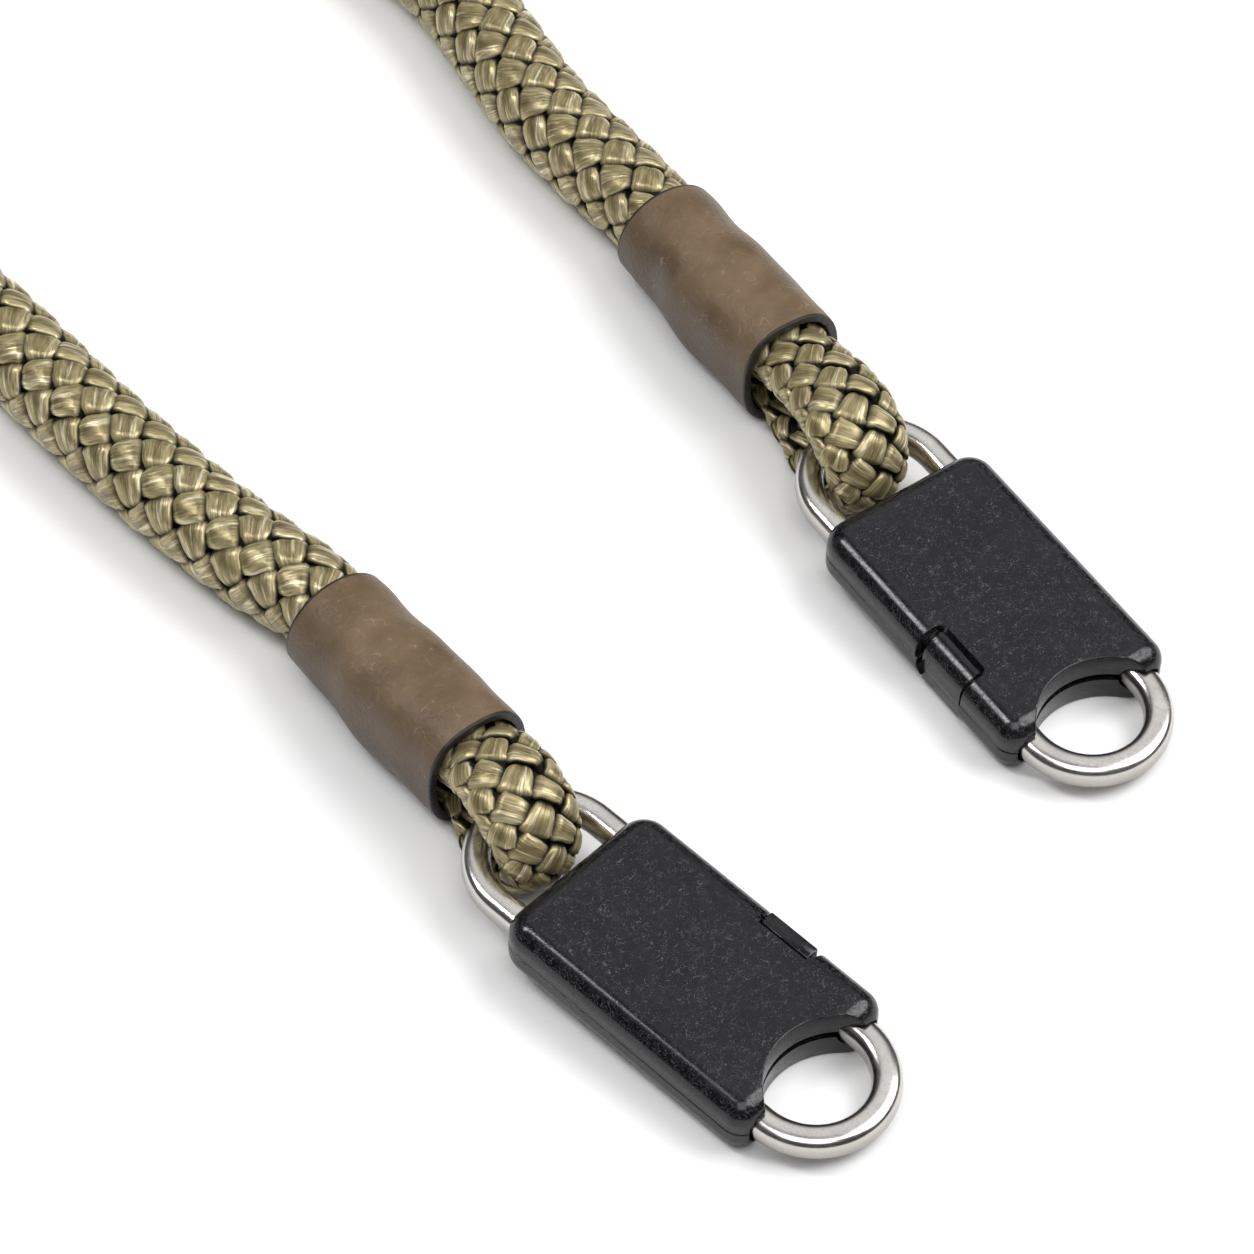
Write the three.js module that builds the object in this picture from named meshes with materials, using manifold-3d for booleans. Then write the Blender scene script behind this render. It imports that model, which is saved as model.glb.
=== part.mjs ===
// A camera strap of thick braided rope, lying on a table as one long loop.
// Each end of the rope is turned back into an eye, held by a leather sleeve. The eye carries an oval
// steel ring, and a two-shell plastic housing is clasped over the middle of the ring.
// Millimetres, +Z up, the table at Z = 0, the clips' tips towards -Y, the loop's far bend at +Y.

import * as THREE from 'three';
import { mergeVertices } from 'three/addons/utils/BufferGeometryUtils.js';
import Module from 'manifold-3d';

const wasm = await Module();
wasm.setup();

const degrees = THREE.MathUtils.degToRad;

// Driving dimensions.
const GAP = 0.3;
const LEATHER = 1.1;
const HOUSING = { length: 38.8, width: 24.3, height: 8, edge: 2.7, rearCorner: 3.4, frontCorner: 2.8 };
const SHELL_WALL = 1.6;
const WIRE = 3.6;
const RING = { centreWidth: 16.9, pastFront: 9.8, pastRear: 13.6 };
const CLIP_PITCH = degrees(3.5);

// The arc cut across the front of the housing, which rounds out the ring's eye.
const FRONT_ARC = { radius: 9.5, aheadOfFront: 4.5 };

// The snap latch on one long side. Distances ahead of the middle and out from the centre line.
const LATCH = { from: 0.7, to: 9.6, inner: 8.3, corner: 1.1, drop: 1 };
const TONGUE = { from: 1.6, to: 8.9, inner: 9.5, setIn: 0.5, slit: 0.6, slitDepth: 1.5 };

// The short slit in the seam opposite the latch.
const SEAM_SLIT = { from: -2.1, to: 0.1, height: 0.6, depth: 0.9 };

// Where each end lies: the housing's middle, the point below the ring's rear bar that the eye's own
// line crosses, the headings in degrees from straight ahead, how far the sleeve's rear end is behind
// the bar, and the eye's drift to one side by the time that it is round the bar.
const ENDS = {
  a: {
    clip: [-31.95, -9.15],
    clipTurn: 5.4,
    eye: [-32.6, 21.8],
    eyeTurn: -3.9,
    sleeveRear: 36.4,
    drift: -1.7,
    turnedOver: false,
  },
  b: {
    clip: [32, 9.15],
    clipTurn: -5.4,
    eye: [36.2, 40.1],
    eyeTurn: -8.6,
    sleeveRear: 41.8,
    drift: -1.9,
    turnedOver: true,
  },
};

// The origin is the middle of the end fittings' footprint, and this is its place in the numbers above.
const ORIGIN = [2.06, 22.18];

// The sleeve from its rear end: how far along, its width and top, and how square it is. It lies flat.
const SLEEVE_SECTIONS = [
  { along: 0, width: 14.6, high: 14, square: 2 },
  { along: 7, width: 14.6, high: 14.1, square: 2 },
  { along: 11, width: 14.5, high: 15.1, square: 2.2 },
  { along: 15, width: 14.4, high: 16, square: 2.6 },
  { along: 20, width: 14.2, high: 16.2, square: 2.8 },
  { along: 29.5, width: 13.9, high: 16.1, square: 2.8 },
];
const SLEEVE_SIDES = 28;

// The rope ends this far inside the sleeve, and the turned-back eye starts there.
const ROPE_INSIDE = 7;

// The eye's upper run inside the sleeve, from the sleeve's rear end.
const UPPER_RUN = [
  { along: ROPE_INSIDE + 2 * GAP, up: 7.05, width: 11.4, thick: 11.4, drift: 0 },
  { along: 9, up: 7.05, width: 11.4, thick: 11.4, drift: 0 },
  { along: 11.8, up: 7.6, width: 11.4, thick: 11.1, drift: 0 },
  { along: 15.2, up: 8.8, width: 11.3, thick: 10.4, drift: 0 },
  { along: 19, up: 9.6, width: 11.1, thick: 9.7, drift: 0 },
  { along: 24, up: 10.1, width: 10.9, thick: 8.9, drift: 0 },
  { along: 29.2, up: 10.3, width: 10.8, thick: 7.8, drift: 0 },
];

// The eye round the ring's bar, from over it to under it.
const ROUND_BAR = [
  { ahead: -2.8, up: 12.7, width: 11.7, thick: 7.2, drift: 0.25 },
  { ahead: 1.4, up: 13.1, width: 12.2, thick: 7.2, drift: 0.5 },
  { ahead: 5.8, up: 11.5, width: 12, thick: 7.2, drift: 0.8 },
  { ahead: 7.9, up: 7, width: 10.2, thick: 6.2, drift: 1 },
  { ahead: 4.6, up: 3, width: 10, thick: 4.7, drift: 1 },
  { ahead: 0, up: 2.25, width: 10.2, thick: 4, drift: 0.7 },
];

// The eye's tail, back inside the sleeve.
const TAIL_RUN = [
  { along: 28.8, up: 3.05, width: 8.5, thick: 3.1, drift: 0 },
  { along: 21.5, up: 3.05, width: 8.5, thick: 3.1, drift: 0 },
  { along: 17, up: 2.7, width: 8.4, thick: 2.5, drift: 0 },
];
const EYE_STEPS = 48;
const EYE_SIDES = 12;

// The rope is pressed in the sleeve, and swells to its full girth outside it.
const ROPE_GIRTH = [
  { outside: -ROPE_INSIDE, across: 11.4 },
  { outside: 0, across: 11.5 },
  { outside: 3, across: 12 },
  { outside: 7, across: 12.5 },
  { outside: 12, across: 12.8 },
];

// The rope's way round the table from the rear of one sleeve to the rear of the other.
const ROPE_ROUTE = [
  [-31.2, 72, 6.6],
  [-32.3, 87, 6.45],
  [-32.7, 101, 6.45],
  [-32.5, 124, 6.45],
  [-33.5, 160, 6.45],
  [-36.3, 200, 6.45],
  [-38.9, 240, 6.45],
  [-39.2, 280, 6.45],
  [-37.6, 320, 6.45],
  [-36.4, 355, 6.45],
  [-34.2, 385, 6.45],
  [-26, 410, 6.45],
  [-11, 427, 6.45],
  [8, 432, 6.45],
  [26, 426, 6.45],
  [39.6, 410, 6.45],
  [46.8, 386, 6.45],
  [48.2, 355, 6.45],
  [46, 320, 6.45],
  [42.8, 280, 6.45],
  [42, 245, 6.45],
  [44.6, 210, 6.45],
  [49, 178, 6.45],
  [51.1, 154, 6.45],
  [50.4, 133, 6.45],
  [47.5, 120, 6.45],
  [44.9, 108, 6.45],
  [43.9, 97, 6.55],
];
const ROPE_STEPS = 60;
const ROPE_SIDES = 12;

const finishes = {
  rope: new THREE.MeshStandardMaterial({ color: 0x8a7f52, roughness: 0.6, metalness: 0 }),
  leather: new THREE.MeshStandardMaterial({ color: 0x735f4b, roughness: 0.5, metalness: 0 }),
  steel: new THREE.MeshStandardMaterial({ color: 0xbdb8b0, roughness: 0.35, metalness: 1 }),
  plastic: new THREE.MeshStandardMaterial({ color: 0x28282c, roughness: 0.55, metalness: 0 }),
};

// A closed solid for joining and cutting, from a closed geometry.
function toSolid(geometry) {
  const plain = geometry.clone();
  plain.deleteAttribute('normal');
  plain.deleteAttribute('uv');
  const merged = mergeVertices(plain);
  return new wasm.Manifold(new wasm.Mesh({
    numProp: 3,
    vertProperties: new Float32Array(merged.attributes.position.array),
    triVerts: new Uint32Array(merged.index.array),
  }));
}

// A geometry again, from a joined or cut solid.
function toGeometry(solid) {
  const mesh = solid.getMesh();
  const geometry = new THREE.BufferGeometry();
  geometry.setAttribute('position', new THREE.BufferAttribute(mesh.vertProperties, mesh.numProp));
  geometry.setIndex(new THREE.BufferAttribute(mesh.triVerts, 1));
  geometry.computeVertexNormals();
  return geometry;
}

// A skin over outlines that all have the same number of points. Its ends are capped unless it joins up.
function loft(outlines, joinsUp) {
  const sides = outlines[0].length;
  const points = outlines.flat();
  const faces = [];
  const last = joinsUp ? outlines.length : outlines.length - 1;
  for (let i = 0; i < last; i += 1) {
    const here = i * sides;
    const next = ((i + 1) % outlines.length) * sides;
    for (let k = 0; k < sides; k += 1) {
      const after = (k + 1) % sides;
      faces.push(here + k, here + after, next + after, here + k, next + after, next + k);
    }
  }
  if (!joinsUp) {
    const far = (outlines.length - 1) * sides;
    for (let k = 1; k < sides - 1; k += 1) {
      faces.push(0, k + 1, k, far, far + k, far + k + 1);
    }
  }
  const geometry = new THREE.BufferGeometry().setFromPoints(points);
  geometry.setIndex(faces);
  geometry.computeVertexNormals();
  return geometry;
}

// One point of a rounded outline: an ellipse where square is 2, and squarer above that.
function roundPoint(angle, halfWidth, halfHeight, square) {
  const c = Math.cos(angle);
  const s = Math.sin(angle);
  const x = Math.sign(c) * halfWidth * Math.abs(c) ** (2 / square);
  const y = Math.sign(s) * halfHeight * Math.abs(s) ** (2 / square);
  return [x, y];
}

// A box between two corners.
function boxSolid(low, high) {
  const size = high.map((h, i) => h - low[i]);
  const box = new THREE.BoxGeometry(...size);
  box.translate(...low.map((l, i) => l + size[i] / 2));
  return toSolid(box);
}

// An upright round bar that passes right through the housing.
function uprightBar(radius, ahead) {
  const bar = new THREE.CylinderGeometry(radius, radius, 2 * HOUSING.height, 48);
  bar.rotateX(Math.PI / 2);
  bar.translate(0, -ahead, 0);
  return toSolid(bar);
}

// The ring in the clip's own frame, swept round an oval, with the section grown by a clearance.
function ringGeometry(clearance) {
  const bend = RING.centreWidth / 2;
  const frontCentre = -(HOUSING.length / 2 + RING.pastFront - WIRE / 2 - bend);
  const rearCentre = HOUSING.length / 2 + RING.pastRear - WIRE / 2 - bend;
  const bendSteps = 14;
  const sides = 12;
  const squareness = 3;
  const outlines = [];
  for (const [centre, start] of [[rearCentre, 0], [frontCentre, Math.PI]]) {
    for (let i = 0; i <= bendSteps; i += 1) {
      const turn = start + (Math.PI * i) / bendSteps;
      const outline = [];
      for (let k = 0; k < sides; k += 1) {
        const angle = (2 * Math.PI * (k + 0.5)) / sides;
        const half = WIRE / 2 + clearance;
        const [out, up] = roundPoint(angle, half, half, squareness);
        const reach = bend + out;
        outline.push(new THREE.Vector3(reach * Math.cos(turn), centre + reach * Math.sin(turn), up));
      }
      outlines.push(outline.reverse());
    }
  }
  return loft(outlines, true);
}

// The housing's plan outline, drawn at its full size.
function housingPlan() {
  const w = HOUSING.width / 2;
  const l = HOUSING.length / 2;
  const rear = HOUSING.rearCorner;
  const front = HOUSING.frontCorner;
  const plan = new THREE.Shape();
  plan.moveTo(-w + front, -l);
  plan.lineTo(w - front, -l);
  plan.absarc(w - front, -l + front, front, -Math.PI / 2, 0);
  plan.lineTo(w, l - rear);
  plan.absarc(w - rear, l - rear, rear, 0, Math.PI / 2);
  plan.lineTo(-w + rear, l);
  plan.absarc(-w + rear, l - rear, rear, Math.PI / 2, Math.PI);
  plan.lineTo(-w, -l + front);
  plan.absarc(-w + front, -l + front, front, Math.PI, 1.5 * Math.PI);
  return plan;
}

// The whole housing before it is split: rounded edges all round, with the arc cut from its front.
function housingBlock() {
  const block = new THREE.ExtrudeGeometry(housingPlan(), {
    depth: HOUSING.height - 2 * HOUSING.edge,
    bevelEnabled: true,
    bevelThickness: HOUSING.edge,
    bevelSize: HOUSING.edge,
    bevelOffset: -HOUSING.edge,
    bevelSegments: 4,
    curveSegments: 4,
  });
  block.translate(0, 0, HOUSING.edge - HOUSING.height / 2);
  const arcMiddle = HOUSING.length / 2 + FRONT_ARC.aheadOfFront;
  return toSolid(block).subtract(uprightBar(FRONT_ARC.radius, arcMiddle));
}

// The hollow inside both shells, which the ring's legs run through, with holes for them at each end.
function housingHollow() {
  const across = HOUSING.width / 2 - SHELL_WALL;
  const along = HOUSING.length / 2 - SHELL_WALL;
  const up = HOUSING.height / 2 - SHELL_WALL;
  const arcMiddle = HOUSING.length / 2 + FRONT_ARC.aheadOfFront;
  const pocket = boxSolid([-across, -along, -up], [across, along, up]);
  const behindArc = pocket.subtract(uprightBar(FRONT_ARC.radius + SHELL_WALL, arcMiddle));
  return behindArc.add(toSolid(ringGeometry(GAP)));
}

// The part of the housing that one shell takes, above or below the seam.
function half(block, side) {
  const far = HOUSING.length;
  const seam = GAP / 2;
  const low = side > 0 ? seam : -HOUSING.height;
  const high = side > 0 ? HOUSING.height : -seam;
  return block.intersect(boxSolid([-far, -far, low], [far, far, high]));
}

// The slot between two distances ahead of the middle, from some way out on the latch side.
function latchSlot(from, to, inner, low, high) {
  return boxSolid([inner, -to, low], [HOUSING.width, -from, high]);
}

// The shell with the latch tongue, on the +Z side. The tongue reaches across the seam.
function tabShell(block, hollow) {
  const top = HOUSING.height;
  const tongueLow = -(HOUSING.height / 2 - LATCH.drop);
  const side = HOUSING.width / 2;
  const slits = [TONGUE.from - TONGUE.slit, TONGUE.to].map((from) => (
    latchSlot(from, from + TONGUE.slit, side - TONGUE.slitDepth, -top, top)
  ));
  const step = latchSlot(TONGUE.from, TONGUE.to, side - TONGUE.setIn, GAP / 2, top);
  const tongue = block.intersect(
    latchSlot(TONGUE.from, TONGUE.to, TONGUE.inner, tongueLow, GAP),
  );
  const shell = half(block, 1).subtract(hollow);
  const slitted = slits.reduce((solid, slit) => solid.subtract(slit), shell.subtract(step));
  const root = half(block, 1).intersect(
    latchSlot(TONGUE.from, TONGUE.to, TONGUE.inner, 0, HOUSING.height / 2),
  );
  return slitted.add(root.subtract(step).subtract(toSolid(ringGeometry(GAP)))).add(
    tongue.subtract(toSolid(ringGeometry(GAP))),
  );
}

// The shell with the latch notch, on the -Z side, with the small slit in the seam of its other side.
function notchShell(block, hollow) {
  const bottom = -HOUSING.height;
  const notch = latchSlot(LATCH.from, LATCH.to, LATCH.inner, bottom, HOUSING.height);
  const side = -HOUSING.width / 2;
  const slit = boxSolid(
    [side - 1, -SEAM_SLIT.to, -SEAM_SLIT.height],
    [side + SEAM_SLIT.depth, -SEAM_SLIT.from, 0],
  );
  const wall = boxSolid(
    [LATCH.inner - SHELL_WALL, -LATCH.to - SHELL_WALL, bottom],
    [LATCH.inner, -LATCH.from + SHELL_WALL, -GAP / 2],
  );
  const shell = half(block, -1).subtract(hollow);
  const backed = shell.add(half(block, -1).intersect(wall).subtract(toSolid(ringGeometry(GAP))));
  return backed.subtract(notch).subtract(slit);
}

// One end's clip: the ring and the two shells, in the clip's own frame.
function clip(end) {
  const block = housingBlock();
  const hollow = housingHollow();
  const group = new THREE.Group();
  const pieces = [
    ['ring', ringGeometry(0), finishes.steel],
    ['tab_shell', toGeometry(tabShell(block, hollow)), finishes.plastic],
    ['notch_shell', toGeometry(notchShell(block, hollow)), finishes.plastic],
  ];
  for (const [name, geometry, finish] of pieces) {
    const mesh = new THREE.Mesh(geometry, finish);
    mesh.name = `${name}_${end}`;
    group.add(mesh);
  }
  const { clip: place, clipTurn, turnedOver } = ENDS[end];
  const edgeAhead = HOUSING.length / 2 - HOUSING.edge;
  const edgeBelow = HOUSING.height / 2 - HOUSING.edge;
  const lift = edgeAhead * Math.sin(CLIP_PITCH) + edgeBelow * Math.cos(CLIP_PITCH) + HOUSING.edge;
  group.position.set(place[0], place[1], lift);
  group.rotation.set(CLIP_PITCH, turnedOver ? Math.PI : 0, degrees(clipTurn), 'ZXY');
  return group;
}

// One outline of the sleeve, drawn in by a wall's thickness for its inside.
function sleeveOutline(row, inset, behind) {
  const halfWidth = row.width / 2 - inset;
  const halfHeight = row.high / 2 - inset;
  const outline = [];
  for (let k = 0; k < SLEEVE_SIDES; k += 1) {
    const angle = (2 * Math.PI * k) / SLEEVE_SIDES;
    const [x, z] = roundPoint(angle, halfWidth, halfHeight, row.square);
    outline.push(new THREE.Vector3(x, behind, row.high / 2 + z));
  }
  return outline;
}

// The leather sleeve, open at both ends.
function sleeveGeometry(sleeveRear) {
  const past = 1;
  const last = SLEEVE_SECTIONS.length - 1;
  const outer = SLEEVE_SECTIONS.map((row) => sleeveOutline(row, 0, sleeveRear - row.along));
  const inner = SLEEVE_SECTIONS.map((row, i) => {
    const along = row.along + (i === last ? past : 0) - (i === 0 ? past : 0);
    return sleeveOutline(row, LEATHER, sleeveRear - along);
  });
  return toGeometry(toSolid(loft(outer, false)).subtract(toSolid(loft(inner, false))));
}

// The rope's eye: flattened outlines square to its own path.
function eyeGeometry(sleeveRear, drift) {
  const fromSleeve = (row) => ({ ...row, ahead: row.along - sleeveRear });
  const rows = [...UPPER_RUN.map(fromSleeve), ...ROUND_BAR, ...TAIL_RUN.map(fromSleeve)];
  const path = new THREE.CatmullRomCurve3(
    rows.map((row) => new THREE.Vector3(row.drift * drift, -row.ahead, row.up)),
    false,
    'centripetal',
  );
  const girth = new THREE.CatmullRomCurve3(
    rows.map((row) => new THREE.Vector3(row.width, row.thick, 0)),
    false,
    'centripetal',
  );
  const outlines = [];
  for (let i = 0; i <= EYE_STEPS; i += 1) {
    const t = i / EYE_STEPS;
    const at = path.getPoint(t);
    const way = path.getTangent(t);
    const up = new THREE.Vector3().crossVectors(new THREE.Vector3(1, 0, 0), way).normalize();
    const across = new THREE.Vector3().crossVectors(way, up);
    const size = girth.getPoint(t);
    const outline = [];
    for (let k = 0; k < EYE_SIDES; k += 1) {
      const angle = (2 * Math.PI * k) / EYE_SIDES;
      const [x, z] = roundPoint(angle, size.x / 2, size.y / 2, 2);
      outline.push(at.clone().addScaledVector(across, x).addScaledVector(up, z));
    }
    outlines.push(outline.reverse());
  }
  return loft(outlines, false);
}

// One end's sleeve and eye, in the eye's own frame.
function ropeEnd(end) {
  const { eye, eyeTurn, sleeveRear, drift } = ENDS[end];
  const group = new THREE.Group();
  const sleeve = new THREE.Mesh(sleeveGeometry(sleeveRear), finishes.leather);
  sleeve.name = `sleeve_${end}`;
  const bight = new THREE.Mesh(eyeGeometry(sleeveRear, drift), finishes.rope);
  bight.name = `rope_eye_${end}`;
  group.add(sleeve, bight);
  group.position.set(eye[0], eye[1], 0);
  group.rotation.z = degrees(eyeTurn);
  return group;
}

// Points on a sleeve's own line, some way in from its rear end, from the outside inwards.
function insideSleeve(end) {
  const { eye, eyeTurn, sleeveRear } = ENDS[end];
  const height = SLEEVE_SECTIONS[0].high / 2;
  const turn = degrees(eyeTurn);
  return [-4, 0, ROPE_INSIDE].map((along) => {
    const back = sleeveRear - along;
    return new THREE.Vector3(eye[0] - back * Math.sin(turn), eye[1] + back * Math.cos(turn), height);
  });
}

// The rope itself, one round tube from inside one sleeve to inside the other.
function rope() {
  const route = [
    ...insideSleeve('a').reverse(),
    ...ROPE_ROUTE.map((point) => new THREE.Vector3(...point)),
    ...insideSleeve('b'),
  ];
  const path = new THREE.CatmullRomCurve3(route, false, 'centripetal');
  path.arcLengthDivisions = 2000;
  const length = path.getLength();
  const leaving = ROPE_GIRTH.map(({ outside, across }) => ({ at: (outside + ROPE_INSIDE) / length, across }));
  const entering = leaving.map(({ at, across }) => ({ at: 1 - at, across })).reverse();
  const full = leaving[leaving.length - 1];
  const stations = [...leaving];
  for (let i = 1; i < ROPE_STEPS; i += 1) {
    const at = THREE.MathUtils.lerp(full.at, entering[0].at, i / ROPE_STEPS);
    stations.push({ at, across: full.across });
  }
  stations.push(...entering);
  const outlines = stations.map(({ at, across }) => {
    const centre = path.getPointAt(at);
    const way = path.getTangentAt(at);
    const side = new THREE.Vector3().crossVectors(way, new THREE.Vector3(0, 0, 1)).normalize();
    const up = new THREE.Vector3().crossVectors(side, way);
    const outline = [];
    for (let k = 0; k < ROPE_SIDES; k += 1) {
      const angle = (2 * Math.PI * k) / ROPE_SIDES;
      const [x, z] = roundPoint(angle, across / 2, across / 2, 2);
      outline.push(centre.clone().addScaledVector(side, x).addScaledVector(up, z));
    }
    return outline.reverse();
  });
  const mesh = new THREE.Mesh(loft(outlines, false), finishes.rope);
  mesh.name = 'rope';
  return mesh;
}

const strap = new THREE.Group();
strap.add(rope());
for (const end of Object.keys(ENDS)) {
  strap.add(ropeEnd(end), clip(end));
}
strap.position.set(-ORIGIN[0], -ORIGIN[1], 0);
strap.updateMatrixWorld(true);

export default strap;
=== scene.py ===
# %% [markdown]
# # A braided rope camera strap
# The strap is one thick braided rope. Each end turns back into an eye inside a leather sleeve, and the
# eye carries an oval steel ring with a two-shell plastic housing snapped over it.
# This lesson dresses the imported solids: a real braid instead of a plain tube, soft leather, smooth rings
# and crisp housings, all in the solids' own frame and in metres.

import bpy
import bmesh
import math
import numpy as np
from mathutils import Matrix, Vector


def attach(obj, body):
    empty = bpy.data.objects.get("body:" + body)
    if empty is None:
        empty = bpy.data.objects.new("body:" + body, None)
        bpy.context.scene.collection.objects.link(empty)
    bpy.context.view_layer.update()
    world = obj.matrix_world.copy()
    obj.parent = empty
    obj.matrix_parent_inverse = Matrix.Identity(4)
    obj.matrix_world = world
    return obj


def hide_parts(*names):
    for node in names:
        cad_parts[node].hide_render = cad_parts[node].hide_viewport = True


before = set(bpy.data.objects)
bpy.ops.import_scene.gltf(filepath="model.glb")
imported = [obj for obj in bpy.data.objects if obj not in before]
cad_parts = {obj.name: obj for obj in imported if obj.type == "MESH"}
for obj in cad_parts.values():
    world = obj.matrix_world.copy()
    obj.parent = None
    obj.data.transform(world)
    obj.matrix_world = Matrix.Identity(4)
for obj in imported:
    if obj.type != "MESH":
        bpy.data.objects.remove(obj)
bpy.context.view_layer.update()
MM = 0.001
# The frame's origin, as a place in the drawing, in millimetres.
ORIGIN = (2.06, 22.18, 0.0)


def place(point):
    """A point in the drawing's millimetres, as metres in the frame."""
    return Vector([(value - start) * MM for value, start in zip(point, ORIGIN)])


print("nodes", sorted(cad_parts))

# %% [markdown]
# ## The camera
# The photograph was taken with a long lens from about fifty degrees up, to the left of the clips. The camera
# comes first. Three angles could turn it, but the operator's own directions also serve for the lights.

# %% Camera
CAMERA = {"turn": math.radians(-40.7), "height": math.radians(49.95), "distance": 695.0}
AIM = (-0.5, 38.7, 0.0)
LENS = 164.4
SENSOR = 36.0


def from_camera(right, ahead, up):
    """A direction or place as the operator gives it: to the right, ahead and up."""
    return Matrix.Rotation(CAMERA["turn"], 3, "Z") @ Vector((right, ahead, up))


def make_camera():
    back = from_camera(0.0, -math.cos(CAMERA["height"]), math.sin(CAMERA["height"]))
    data = bpy.data.cameras.new("view")
    data.lens = LENS
    data.sensor_width = SENSOR
    camera = bpy.data.objects.new("view", data)
    camera.location = place(AIM) + back * CAMERA["distance"] * MM
    camera.rotation_mode = "QUATERNION"
    camera.rotation_quaternion = (-back).to_track_quat("-Z", "Y")
    bpy.context.scene.collection.objects.link(camera)
    bpy.context.scene.camera = camera
    return camera


print("camera at", [round(v, 3) for v in make_camera().location])

# %% [markdown]
# ## Where everything lies
# The ends and the rope's way round the table are the same short tables that the solids were drawn from, so
# each dressed piece falls where its solid is. They could be measured from the solids, but those have facets.

# %% The two ends
# Places in millimetres and turns in degrees. A clip's place is its middle, and an eye's is the ring's bar,
# with the sleeve ending that far behind it.
ENDS = {
    "a": {
        "clip": (-31.95, -9.15), "clip_turn": 5.4, "turned_over": False,
        "eye": (-32.6, 21.8), "eye_turn": -3.9, "sleeve_rear": 36.4, "drift": -1.7,
    },
    "b": {
        "clip": (32.0, 9.15), "clip_turn": -5.4, "turned_over": True,
        "eye": (36.2, 40.1), "eye_turn": -8.6, "sleeve_rear": 41.8, "drift": -1.9,
    },
}


def eye_matrix(end):
    """The eye's own frame: its Y runs back along the sleeve from the ring's bar."""
    x, y = ENDS[end]["eye"]
    turn = Matrix.Rotation(math.radians(ENDS[end]["eye_turn"]), 4, "Z")
    return Matrix.Translation((x - ORIGIN[0], y - ORIGIN[1], 0.0)) @ turn


print("eyes at", {end: [round(v, 1) for v in eye_matrix(end).translation] for end in ENDS})

# %% A smooth line through a table
def smooth_line(points, per_span):
    """A centripetal Catmull-Rom line through the rows of a table."""
    rows = np.array(points, float)
    rows = np.vstack([2 * rows[0] - rows[1], rows, 2 * rows[-1] - rows[-2]])
    line = []
    for p0, p1, p2, p3 in zip(rows, rows[1:], rows[2:], rows[3:]):
        spans = (p1 - p0, p2 - p1, p3 - p2)
        d0, d1, d2 = [np.linalg.norm(span) ** 0.5 for span in spans]
        t1 = ((p1 - p0) / d0 - (p2 - p0) / (d0 + d1) + (p2 - p1) / d1) * d1
        t2 = ((p2 - p1) / d1 - (p3 - p1) / (d1 + d2) + (p3 - p2) / d2) * d1
        for k in range(per_span):
            t = k / per_span
            bend = (2 * p1 - 2 * p2 + t1 + t2) * t**3 + (3 * p2 - 3 * p1 - 2 * t1 - t2) * t**2
            line.append(p1 + t1 * t + bend)
    line.append(rows[-2])
    return np.array(line)


def distance_along(line):
    """How far along the line each row is, by its first three columns."""
    gaps = np.linalg.norm(np.diff(line[:, :3], axis=0), axis=1)
    return np.concatenate([[0.0], np.cumsum(gaps)])


print("two spans in two steps each give", len(smooth_line(np.eye(3), 2)), "rows")

# %% The rope's way
# The rope swells outside the sleeve: how far outside, and how wide it is there.
ROPE_GIRTH = [(-7.0, 11.4), (0.0, 11.5), (3.0, 12.0), (7.0, 12.5), (12.0, 12.8)]
ROPE_ACROSS = ROPE_GIRTH[-1][1]
# How far it goes into the sleeve and runs straight behind it, and the sleeve's height there.
ROPE_INSIDE = 7.0
ROPE_STRAIGHT = 4.0
SLEEVE_REAR_HIGH = 14.0
ROPE_STEPS = 24
ROPE_ROUTE = [
    (-31.2, 72, 6.6), (-32.3, 87, 6.45), (-32.7, 101, 6.45), (-32.5, 124, 6.45), (-33.5, 160, 6.45),
    (-36.3, 200, 6.45), (-38.9, 240, 6.45), (-39.2, 280, 6.45), (-37.6, 320, 6.45), (-36.4, 355, 6.45),
    (-34.2, 385, 6.45), (-26, 410, 6.45), (-11, 427, 6.45), (8, 432, 6.45), (26, 426, 6.45),
    (39.6, 410, 6.45), (46.8, 386, 6.45), (48.2, 355, 6.45), (46, 320, 6.45), (42.8, 280, 6.45),
    (42, 245, 6.45), (44.6, 210, 6.45), (49, 178, 6.45), (51.1, 154, 6.45), (50.4, 133, 6.45),
    (47.5, 120, 6.45), (44.9, 108, 6.45), (43.9, 97, 6.55),
]


def in_sleeve(end):
    """Points on a sleeve's own line, from outside it to the rope's end."""
    rear = ENDS[end]["sleeve_rear"]
    height = SLEEVE_REAR_HIGH / 2
    backs = [rear + ROPE_STRAIGHT, rear, rear - ROPE_INSIDE]
    return [eye_matrix(end) @ Vector((0.0, back, height)) for back in backs]


def rope_line():
    """The rope's centre line in millimetres, from inside sleeve a to inside sleeve b."""
    table = [(x - ORIGIN[0], y - ORIGIN[1], z) for x, y, z in ROPE_ROUTE]
    return smooth_line([*in_sleeve("a")[::-1], *table, *in_sleeve("b")], ROPE_STEPS)


rope_path = rope_line()

# %% [markdown]
# ## A braid
# The rope is twelve flat strands of fine filaments, six winding each way, each passing over one and
# under the next. A texture on a tube would look flat where the rope fills the picture, so every strand is
# a real ribbon. One grid of faces is curled into a tube, laid along the strand's own winding path, and
# its height rises and falls as it crosses the strands of the other hand.

# %% From a mesh to a piece
# Corners closer than this, in metres, are one.
SAME_CORNER = 1e-8
finish = {}


def as_object(bm, name):
    """A mesh as an object at the origin, unturned and unscaled."""
    mesh = bpy.data.meshes.new(name)
    bm.to_mesh(mesh)
    bm.free()
    made = bpy.data.objects.new(name, mesh)
    bpy.context.scene.collection.objects.link(made)
    return made


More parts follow.
